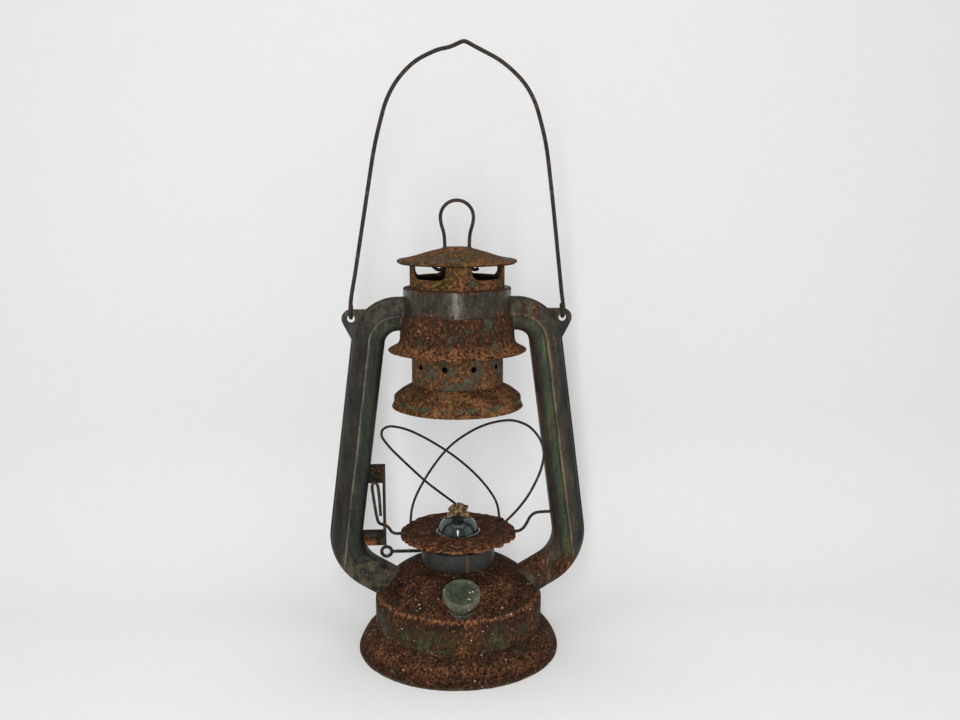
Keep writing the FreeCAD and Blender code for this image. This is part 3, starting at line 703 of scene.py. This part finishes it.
def make_tubes():
    left_paint_and_highlight = along_tube([
        (0.00, (0.010, 0.010, 0.008)),
        (0.20, (0.014, 0.020, 0.012)),
        (0.43, (0.020, 0.025, 0.015)),
        # painted highlight along the crease
        (0.475, (0.120, 0.110, 0.088)),
        (0.52, (0.018, 0.015, 0.011)),
        (0.80, (0.014, 0.012, 0.009)),
        (0.97, (0.026, 0.026, 0.022)),
    ])
    right_paint_shade_and_highlight = along_tube([
        (0.00, (0.034, 0.020, 0.013)),
        (0.20, (0.011, 0.010, 0.007)),
        (0.28, (0.028, 0.036, 0.019)),
        (0.46, (0.042, 0.052, 0.028)),
        # painted shade in the groove beside the crease, then a painted highlight on the crease
        (0.50, (0.008, 0.009, 0.007)),
        (0.545, (0.130, 0.118, 0.072)),
        (0.60, (0.040, 0.028, 0.017)),
        (0.80, (0.024, 0.024, 0.020)),
        (1.00, (0.012, 0.013, 0.011)),
    ])
    shared = {"streak": 4.0, "paint_rough": 0.55, "patch_mm": 14, "fleck_mm": 2.6, "bump": 0.4, "spec": 0.16}
    left = aged_metal("tube_paint_and_highlight_left", left_paint_and_highlight, cover=0.10, bands=[(46, 14, 0.06), (205, 16, 0.08)],
                      shift=(3, 1, 2), **shared)
    right = aged_metal("tube_paint_shade_and_highlight_right", right_paint_shade_and_highlight, cover=0.14, bands=[(50, 16, 0.14), (205, 16, 0.10)],
                       shift=(1, 9, 4), specks=0.02, **shared)
    for side, finish in (("left", left), ("right", right)):
        for half in ("front", "back"):
            repaint(f"tube_{side}_{half}", finish)


def corner_rust(t):
    """Fresh rust in the lower outer corner of the lift guide."""
    return t.times(t.step(t.x, -51.0, -48.0, 1.0, 0.0), t.step(t.z, 64.0, 67.0, 1.0, 0.0))


def make_lift_guide():
    finish = aged_metal("bracket_rust", DARK_PAINT, cover=0.45, paint_rough=0.7, spec=0.1,
                        shift=(4, 4, 6), patch_mm=8, accent=corner_rust)
    repaint("lift_guide", finish)


# ---------------------------------------------------------------- crown
def make_crown():
    top_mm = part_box("crown_band")[1].z / MM
    foot_mm = 204.0         # just above the skirt's top edge
    rim_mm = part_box("crown_skirt")[0].z / MM
    band = aged_metal(
        "worn_band", GREY_METAL, cover=0.24, streak=2.6, paint_rough=0.29, spec=0.45, metal=0.25,
        shift=(2, 5, 30), patch_mm=12, bump=0.08, bands=[(top_mm, 2.0, 0.10), (foot_mm, 2.5, 0.08)],
    )
    piece = turned_mesh("crown_band_skin", "crown_band", rough_skin(0.03, 0.08, 2.0))
    stand_for(piece, "crown_band", band)
    skirt = aged_metal(
        "rusted_crown", BROWN_PAINT, cover=0.66, streak=1.3, paint_rough=0.55, specks=0.05,
        shift=(1, 6, 12), patch_mm=12,
        bands=[(rim_mm, 6.0, 0.10)], glow=[(rim_mm + 2.0, 6.0, 0.95)],
    )
    piece = turned_mesh("crown_skirt_skin", "crown_skirt", rough_skin(0.14, 0.2, 9.0))
    stand_for(piece, "crown_skirt", skirt)


# ---------------------------------------------------------------- chimney
VENT_COUNT = 10
VENT_R = 1.7 * MM
VENT_Z = 174 * MM
CHIMNEY_WALL_MM = 26.2      # middle of the chimney's wall


def cut_holes(piece, count, radius, height, reach):
    """Drills a ring of round holes, by a boolean that is applied at once."""
    bm = bmesh.new()
    for i in range(count):
        angle = 2 * math.pi * i / count
        turn = Matrix.Rotation(angle, 4, "Z") @ Matrix.Rotation(math.pi / 2, 4, "Y")
        place = Matrix.Translation((reach * math.cos(angle), reach * math.sin(angle), height)) @ turn
        bmesh.ops.create_cone(bm, cap_ends=True, segments=20, radius1=radius, radius2=radius, depth=8 * MM,
                              matrix=place)
    mesh = bpy.data.meshes.new("drills")
    bm.to_mesh(mesh)
    bm.free()
    drill = new_piece("drills", mesh)
    modifier = piece.modifiers.new("holes", "BOOLEAN")
    modifier.operation = "DIFFERENCE"
    modifier.solver = "EXACT"
    modifier.object = drill
    apply_modifiers(piece)
    bpy.data.objects.remove(drill)
    piece.data.set_sharp_from_angle(angle=SHARP)


def make_chimney_tube():
    finish = aged_metal("rusted_chimney", CHIMNEY_PAINT, BRIGHT_RUST, cover=0.55, paint_rough=0.55, spec=0.2,
                        specks=0.06, shift=(8, 2, 5), patch_mm=9, pits=0.1, soot_r_mm=CHIMNEY_WALL_MM)
    piece = turned_mesh("chimney_tube_skin", "chimney_tube", rough_skin(0.10, 0.0, 4.0))
    cut_holes(piece, VENT_COUNT, VENT_R, VENT_Z, CHIMNEY_WALL_MM * MM)
    stand_for(piece, "chimney_tube", finish)


def make_bell():
    low_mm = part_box("globe_bell")[0].z / MM
    finish = aged_metal(
        "rusted_bell", GREEN_PAINT, BRIGHT_RUST, cover=0.80, paint_rough=0.45, specks=0.05, green=0.5,
        shift=(3, 3, 9), patch_mm=11, soot_r_mm=CHIMNEY_WALL_MM,
        bands=[(low_mm + 4.5, 2.0, -0.12)], glow=[(low_mm, 1.4, 0.6)],
    )
    piece = turned_mesh("bell_skin", "globe_bell", rough_skin(0.14, 0.2, 6.0))
    stand_for(piece, "globe_bell", finish)


def make_roof():
    top_mm = 240.6          # just under the roof's flat top
    finish = aged_metal("rusted_roof", GREEN_PAINT, BRIGHT_RUST, cover=0.66, spec=0.2, green=0.9, specks=0.04,
                        glow=[(top_mm, 1.6, 0.4)], shift=(5, 8, 2), patch_mm=9)
    piece = turned_mesh("roof_skin", "chimney_cap", rough_skin(0.10, 0.25, 8.0))
    stand_for(piece, "chimney_cap", finish)
    repaint("vent_gallery", finish)


def make_spring(finish):
    """The coil between the chimney's bead and the crown top."""
    low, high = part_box("chimney_spring")
    wire_r = 0.6 * MM
    turns = 6.5
    around = 10             # points round the wire
    count = 360             # rings along the coil
    coil_r = high.x - wire_r
    bottom, top = low.z + wire_r, high.z - wire_r
    vertices = []
    for i in range(count + 1):
        angle = 2 * math.pi * turns * i / count
        outward = Vector((math.cos(angle), math.sin(angle), 0))
        centre = outward * coil_r + Vector((0, 0, bottom + (top - bottom) * i / count))
        for k in range(around):
            turn = 2 * math.pi * k / around
            vertices.append(centre + wire_r * (outward * math.cos(turn) + Vector((0, 0, math.sin(turn)))))
    faces = [tuple(range(around)), tuple(reversed(range(count * around, (count + 1) * around)))]
    for i in range(count):
        for k in range(around):
            m = (k + 1) % around
            faces.append((i * around + k, i * around + m, (i + 1) * around + m, (i + 1) * around + k))
    mesh = bpy.data.meshes.new("spring_coil")
    mesh.from_pydata(vertices, [], faces)
    bm = bmesh.new()
    bm.from_mesh(mesh)
    bmesh.ops.recalc_face_normals(bm, faces=bm.faces[:])
    for face in bm.faces:
        face.smooth = len(face.verts) == 4
    bm.to_mesh(mesh)
    bm.free()
    mesh.materials.append(finish)
    piece = new_piece("spring_coil", mesh)
    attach(piece, "frame")
    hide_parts("chimney_spring")
    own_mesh(piece)


# ---------------------------------------------------------------- build
inner = inner_finish()
wire = wire_finish()
make_tank()
make_skirt()
make_collar()
make_plate()
make_crown()
make_chimney_tube()
make_bell()
make_roof()
make_filler()
make_dome()
make_tubes()
make_wick()
for node in ("air_chamber_floor", "burner_body", "wick_tube", "wick_wheels"):
    repaint(node, inner)
for node in ("bail_wire", "pull_ring", "lift_wire", "guard_wire_left", "guard_wire_right", "wick_key"):
    repaint(node, wire)
make_lift_guide()
make_spring(wire)


# ---------------------------------------------------------------- studio
def paper_finish():
    t = Tree("paper")
    fibre = t.noise(9.0, 5, 0.7)
    colour = t.ramp(fibre, [(0.3, (0.845, 0.845, 0.845)), (0.7, (0.86, 0.86, 0.858))])
    return t.finish(colour, 0.9, fibre, 0.0, 0.04, 0.2, clear_back=True)


def sweep():
    """A pale floor that curves up into a wall behind the lantern. It is clear from its back, so that the
    lantern can be seen from every side."""
    wall = 0.16
    bend = 0.10
    front = -1.6
    top = 1.6
    half_width = 1.8
    outline = [(front, 0.0), (wall - bend, 0.0)]
    for k in range(1, 16):
        angle = math.radians(6 * k)
        outline.append((wall - bend + bend * math.sin(angle), bend - bend * math.cos(angle)))
    outline.append((wall, top))
    bm = bmesh.new()
    rows = [[bm.verts.new((x, y, z)) for x in (-half_width, half_width)] for y, z in outline]
    for a, b in zip(rows, rows[1:]):
        face = bm.faces.new((a[0], a[1], b[1], b[0]))
        face.smooth = True
    mesh = bpy.data.meshes.new("sweep")
    bm.to_mesh(mesh)
    bm.free()
    mesh.materials.append(paper_finish())
    new_piece("sweep", mesh)


def area_light(name, place, target, watts, wide, tall):
    light = bpy.data.lights.new(name, "AREA")
    light.shape = "RECTANGLE"
    light.size = wide
    light.size_y = tall
    light.energy = watts
    lamp = bpy.data.objects.new(name, light)
    lamp.location = place
    lamp.rotation_euler = (Vector(target) - Vector(place)).to_track_quat("-Z", "Y").to_euler()
    bpy.context.scene.collection.objects.link(lamp)


def lights():
    """Two tall narrow lights at the camera's left, one above it and one below it, two side fills, a broad
    light overhead and an even room light."""
    area_light("key", (-0.045, -0.58, 0.330), (0, 0, 0.16), 1.3, 0.04, 0.26)
    area_light("glint", (-0.045, -0.58, 0.140), (0, 0, 0.20), 0.4, 0.03, 0.16)
    area_light("left_fill", (-0.9, -0.5, 0.5), (0, 0, 0.15), 1.1, 0.8, 0.8)
    area_light("right_fill", (0.9, -0.5, 0.5), (0, 0, 0.15), 1.3, 0.8, 0.8)
    area_light("top", (0, -0.2, 1.2), (0, 0, 0.1), 5.0, 1.2, 1.2)
    world = bpy.data.worlds.new("room")
    world.use_nodes = True
    background = world.node_tree.nodes["Background"]
    background.inputs["Color"].default_value = (1, 1, 1, 1)
    background.inputs["Strength"].default_value = 0.37
    bpy.context.scene.world = world
    bpy.context.scene.view_settings.view_transform = "Standard"


def camera():
    """Eye level a little above the crown, a little left of centre, looking down by about ten degrees."""
    lens = bpy.data.cameras.new("camera")
    lens.sensor_width = 36
    lens.lens = 37.4
    eye = bpy.data.objects.new("camera", lens)
    eye.location = (-0.0218, -0.5709, 0.2752)
    eye.rotation_euler = (math.radians(90 - 9.92), 0, math.radians(-3.5))
    bpy.context.scene.collection.objects.link(eye)
    bpy.context.scene.camera = eye


sweep()
lights()
camera()
